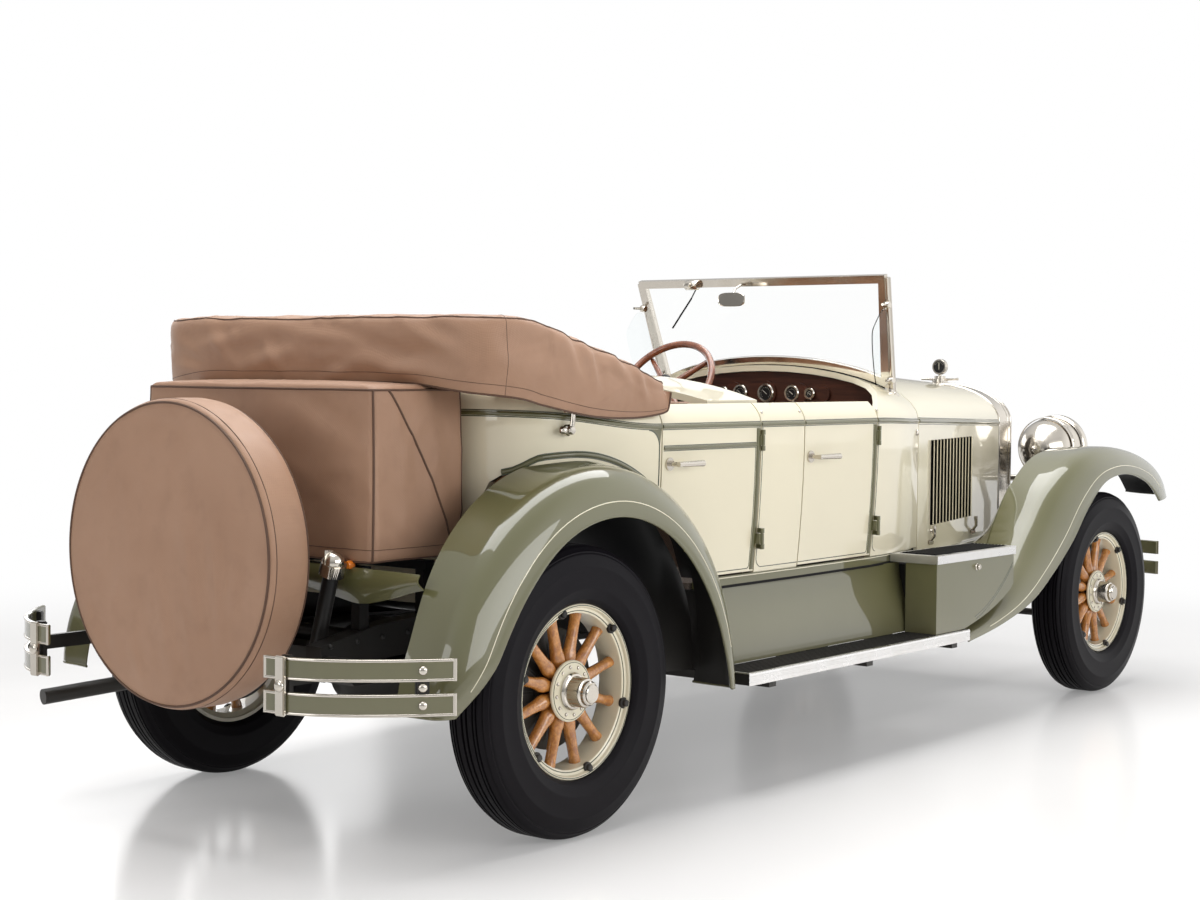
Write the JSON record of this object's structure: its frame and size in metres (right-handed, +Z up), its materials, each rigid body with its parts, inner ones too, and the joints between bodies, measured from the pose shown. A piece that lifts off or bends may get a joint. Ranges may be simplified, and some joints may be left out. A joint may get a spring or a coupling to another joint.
{
  "type": "dual_cowl_phaeton_car",
  "caption": "Open touring car of the late twenties with a second cowl, wooden-spoked wheels, folded top under a boot, covered trunk and covered spare; wheels, steering, doors and cowl move.",
  "frame": {"origin": "on the floor, midway along the overall length and across the width", "axes": "+X forward, +Y the car's left, +Z up"},
  "size_m": [5.14, 1.716, 1.6933],
  "materials": {
    "body_paint": "gloss cream",
    "fender_paint": "gloss sage green",
    "chassis_black": "satin black",
    "nickel": "polished nickel",
    "tyre_rubber": "matt black",
    "spoke_wood": "varnished",
    "seat_leather": "satin",
    "top_canvas": "matt woven",
    "clear_glass": "clear",
    "dash_wood": "varnished",
    "floor_carpet": "matt",
    "engine_iron": "matt"
  },
  "bodies": {
    "chassis": {"frame_rails": "chassis_black", "front_axle": "chassis_black", "rear_axle": "chassis_black", "leaf_springs": "chassis_black", "engine_block": "engine_iron", "exhaust": "chassis_black", "fuel_tank": "chassis_black", "radiator_shell": "nickel", "radiator_core": "engine_iron", "hood_top": "body_paint", "hood_sides": "body_paint", "cowl": "body_paint", "floor": "floor_carpet", "dashboard": "dash_wood", "pillar_panels": "body_paint", "rear_body": "body_paint", "side_aprons": "fender_paint", "front_seat": "seat_leather", "rear_seat": "seat_leather", "steering_column": "chassis_black", "windshield_frame": "nickel", "windshield_glass": "clear_glass", "front_fenders": "fender_paint", "rear_fenders": "fender_paint", "rear_apron": "fender_paint", "running_boards": "tyre_rubber", "step_boxes": "fender_paint", "headlamps": "nickel", "headlamp_lenses": "clear_glass", "bumpers": "fender_paint", "trunk_cover": "top_canvas", "spare_cover": "top_canvas", "folded_top": "top_canvas"},
    "knuckle_left": {"knuckle_left": "chassis_black"},
    "knuckle_right": {"knuckle_right": "chassis_black"},
    "tie_rod": {"tie_rod": "chassis_black"},
    "steering_wheel": {"steering_wheel": "spoke_wood"},
    "wheel_front_right": {"tyre_front_right": "tyre_rubber", "wheel_front_right": "spoke_wood"},
    "wheel_rear_right": {"tyre_rear_right": "tyre_rubber", "wheel_rear_right": "spoke_wood"},
    "front_door_right": {"front_door_right": "body_paint"},
    "rear_door_right": {"rear_door_right": "body_paint"},
    "wheel_front_left": {"tyre_front_left": "tyre_rubber", "wheel_front_left": "spoke_wood"},
    "wheel_rear_left": {"tyre_rear_left": "tyre_rubber", "wheel_rear_left": "spoke_wood"},
    "front_door_left": {"front_door_left": "body_paint"},
    "rear_door_left": {"rear_door_left": "body_paint"},
    "tonneau_cowl": {"tonneau_cowl": "body_paint"}
  },
  "joints": [
    {"name": "steer_left", "type": "hinge", "parent": "chassis", "child": "knuckle_left", "pos_m": [1.825, 0.5925, 0.419], "axis": [0, 0, 1], "range_deg": [-28, 28]},
    {"name": "steer_right", "type": "hinge", "parent": "chassis", "child": "knuckle_right", "pos_m": [1.825, -0.5925, 0.419], "axis": [0, 0, 1], "range_deg": [-28, 28]},
    {"name": "tie_rod_pivot", "type": "hinge", "parent": "knuckle_left", "child": "tie_rod", "pos_m": [1.665, 0.5925, 0.329], "axis": [0, 0, 1], "range_deg": [-28, 28]},
    {"name": "steering_wheel_turn", "type": "hinge", "parent": "chassis", "child": "steering_wheel", "pos_m": [0.225, 0.33, 1.272], "axis": [-0.809, 0, 0.5878], "range_deg": [-392, 392]},
    {"name": "wheel_front_right_turn", "type": "hinge", "parent": "knuckle_right", "child": "wheel_front_right", "pos_m": [1.825, -0.7225, 0.419], "axis": [0, 1, 0], "continuous": true},
    {"name": "wheel_rear_right_turn", "type": "hinge", "parent": "chassis", "child": "wheel_rear_right", "pos_m": [-1.68, -0.7225, 0.419], "axis": [0, 1, 0], "continuous": true},
    {"name": "front_door_right_hinge", "type": "hinge", "parent": "chassis", "child": "front_door_right", "pos_m": [0.11, -0.699, 0.94], "axis": [0, 0, 1], "range_deg": [0, 70]},
    {"name": "rear_door_right_hinge", "type": "hinge", "parent": "chassis", "child": "rear_door_right", "pos_m": [-0.652, -0.713, 0.94], "axis": [0, 0, 1], "range_deg": [0, 70]},
    {"name": "wheel_front_left_turn", "type": "hinge", "parent": "knuckle_left", "child": "wheel_front_left", "pos_m": [1.825, 0.7225, 0.419], "axis": [0, 1, 0], "continuous": true},
    {"name": "wheel_rear_left_turn", "type": "hinge", "parent": "chassis", "child": "wheel_rear_left", "pos_m": [-1.68, 0.7225, 0.419], "axis": [0, 1, 0], "continuous": true},
    {"name": "front_door_left_hinge", "type": "hinge", "parent": "chassis", "child": "front_door_left", "pos_m": [0.11, 0.699, 0.94], "axis": [0, 0, -1], "range_deg": [0, 70]},
    {"name": "rear_door_left_hinge", "type": "hinge", "parent": "chassis", "child": "rear_door_left", "pos_m": [-0.652, 0.713, 0.94], "axis": [0, 0, -1], "range_deg": [0, 70]},
    {"name": "tonneau_hinge", "type": "hinge", "parent": "chassis", "child": "tonneau_cowl", "pos_m": [-0.552, 0, 1.22], "axis": [0, 1, 0], "range_deg": [0, 60]}
  ],
  "couplings": [
    {"joint": "steer_right", "follows": "steer_left", "ratio": 1},
    {"joint": "tie_rod_pivot", "follows": "steer_left", "ratio": -1},
    {"joint": "steering_wheel_turn", "follows": "steer_left", "ratio": 14}
  ]
}
